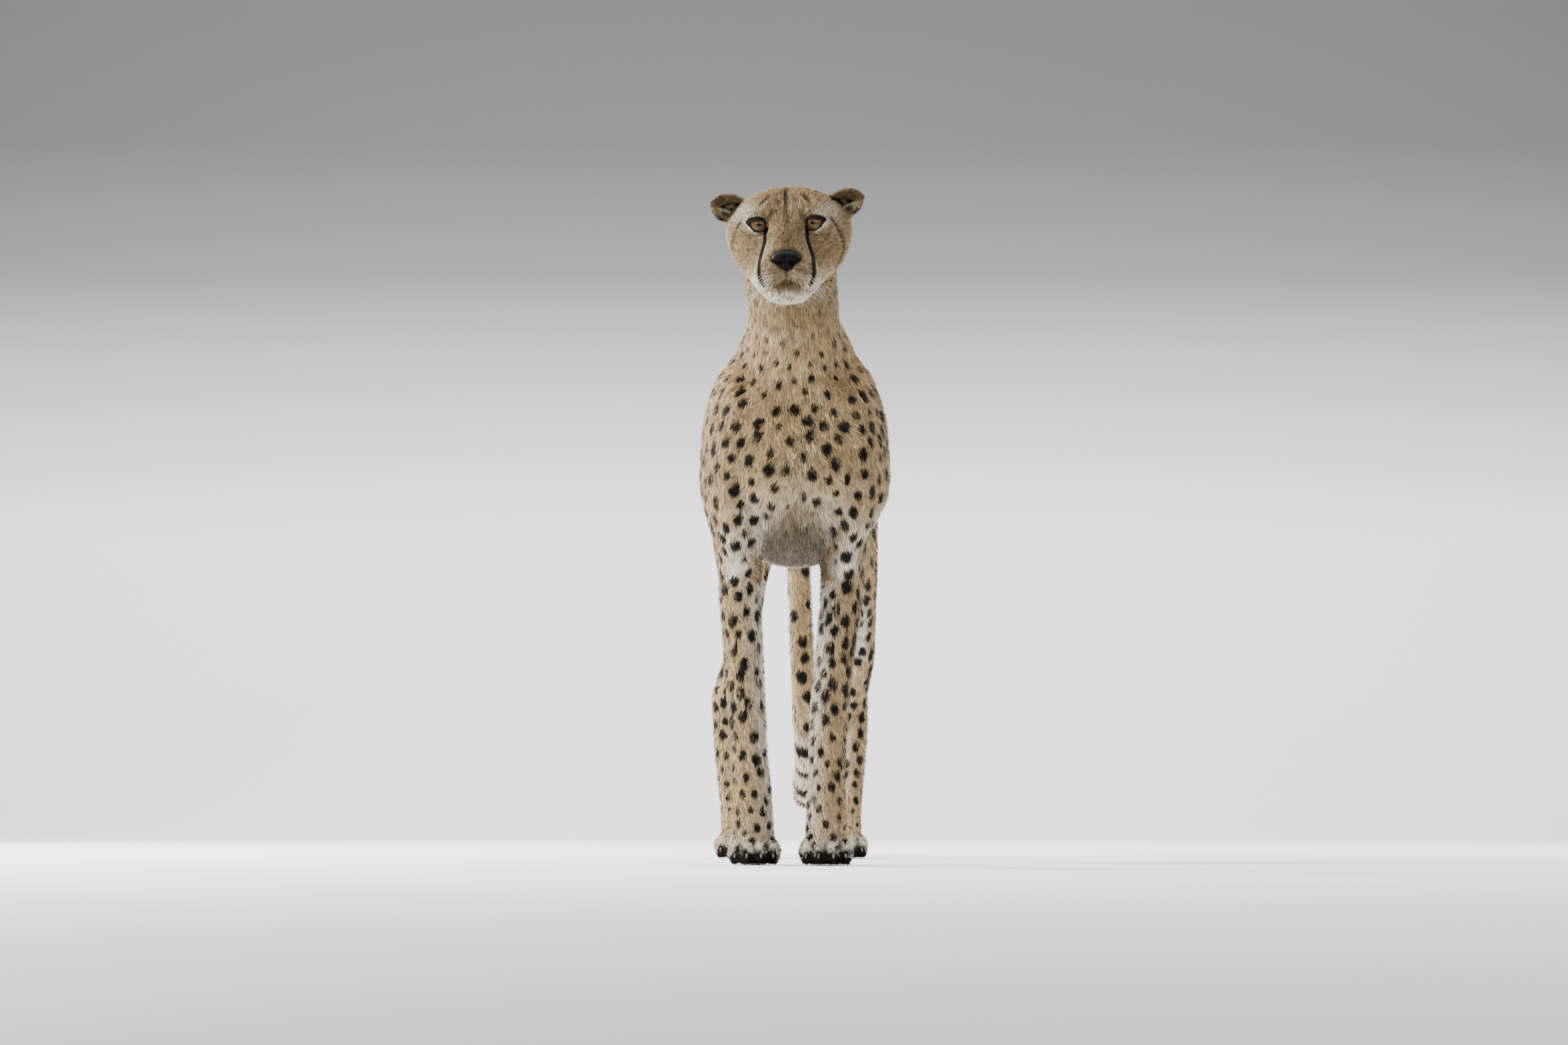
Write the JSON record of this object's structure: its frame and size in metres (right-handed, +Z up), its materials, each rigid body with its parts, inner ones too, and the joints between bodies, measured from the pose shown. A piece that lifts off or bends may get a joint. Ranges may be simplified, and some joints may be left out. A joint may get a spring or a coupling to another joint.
{
  "type": "cheetah",
  "caption": "Life-size standing cheetah, head up and facing forward, short spotted coat, long legs, and a long tail curved up at its tip.",
  "frame": {"origin": "middle of the figure's bounding box at floor level, under the paws", "axes": "+Z up, -Y the way the cheetah faces, +X its left side"},
  "size_m": [0.2634, 1.4004, 0.9163],
  "materials": {
    "fur": "short spotted fur",
    "nose_leather": "damp black skin",
    "eye": "wet, amber iris",
    "claw": "dull horn"
  },
  "bodies": {
    "root": {"abdomen": "fur", "head": "fur", "left_ear": "fur", "left_eye": "eye", "left_fore_claw_1": "claw", "left_fore_claw_2": "claw", "left_fore_claw_3": "claw", "left_fore_claw_4": "claw", "left_fore_dewclaw": "claw", "left_forearm": "fur", "left_forepaw": "fur", "left_hind_claw_1": "claw", "left_hind_claw_2": "claw", "left_hind_claw_3": "claw", "left_hind_claw_4": "claw", "left_hindpaw": "fur", "left_metatarsus": "fur", "left_shank": "fur", "left_thigh": "fur", "left_upper_arm": "fur", "neck": "fur", "nose": "nose_leather", "right_ear": "fur", "right_eye": "eye", "right_fore_claw_1": "claw", "right_fore_claw_2": "claw", "right_fore_claw_3": "claw", "right_fore_claw_4": "claw", "right_fore_dewclaw": "claw", "right_forearm": "fur", "right_forepaw": "fur", "right_hind_claw_1": "claw", "right_hind_claw_2": "claw", "right_hind_claw_3": "claw", "right_hind_claw_4": "claw", "right_hindpaw": "fur", "right_metatarsus": "fur", "right_shank": "fur", "right_thigh": "fur", "right_upper_arm": "fur", "rump": "fur", "tail_middle": "fur", "tail_root": "fur", "tail_tip": "fur", "thorax": "fur"}
  },
  "joints": []
}
